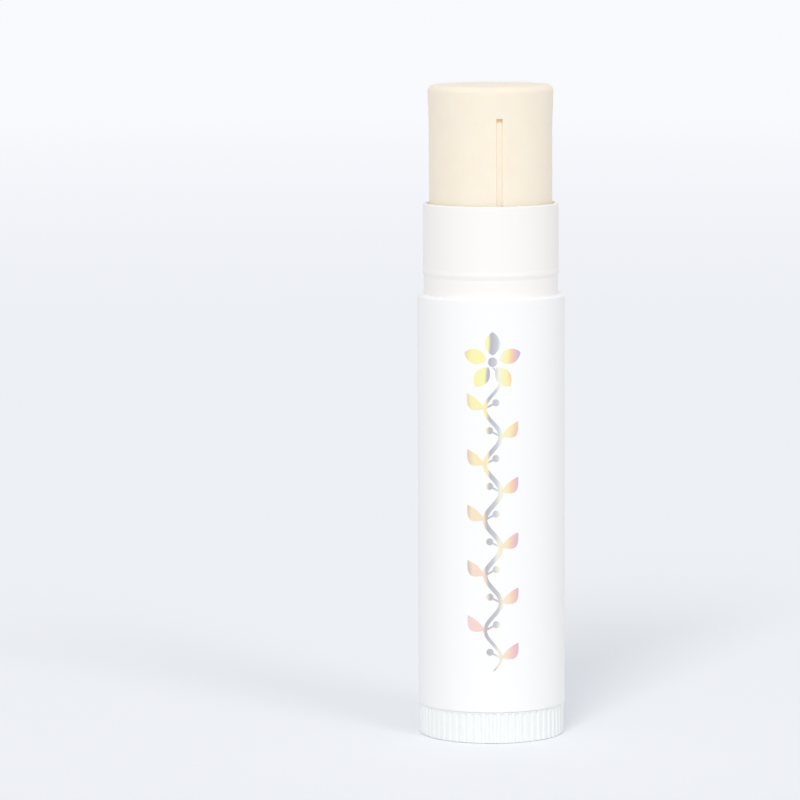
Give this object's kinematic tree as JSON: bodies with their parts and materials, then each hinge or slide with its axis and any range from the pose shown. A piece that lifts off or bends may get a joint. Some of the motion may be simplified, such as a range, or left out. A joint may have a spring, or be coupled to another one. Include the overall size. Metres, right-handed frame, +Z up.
{
  "type": "lip balm stick",
  "caption": "Twist-up lip balm stick without its cap: a round barrel with a stepped neck, a fluted turning wheel at the foot and a cast balm that a lead screw lifts out of the rim.",
  "frame": {"origin": "on the stick's axis, in the plane of the wheel's foot", "axes": "+Z up along the axis from the wheel to the balm, -Y towards the front of the barrel, which carries the foil ornament, +X to the right seen from the front"},
  "size_m": [0.016, 0.016, 0.0707],
  "materials": {
    "barrel_plastic": "white moulded polypropylene, satin gloss",
    "wheel_plastic": "white moulded polypropylene, satin gloss",
    "screw_plastic": "natural white moulded polypropylene, unpolished",
    "elevator_plastic": "natural white moulded polypropylene, unpolished",
    "balm_wax": "cream cast wax and oil balm, soft sheen"
  },
  "bodies": {
    "barrel": {"barrel": "barrel_plastic"},
    "wheel": {"turn_wheel": "wheel_plastic", "spindle": "screw_plastic"},
    "carrier": {"elevator": "elevator_plastic", "balm": "balm_wax"}
  },
  "joints": [
    {"name": "wheel_turn", "type": "hinge", "parent": "barrel", "child": "wheel", "pos_m": [0, 0, 0], "axis": [0, 0, 1], "range_deg": [-711.8, 1373.6]},
    {"name": "balm_lift", "type": "slide", "parent": "barrel", "child": "carrier", "axis": [0, 0, 1], "range_m": [-0.01285, 0.0248]}
  ],
  "couplings": [
    {"joint": "wheel_turn", "follows": "balm_lift", "rad_per_m": 966.64}
  ]
}
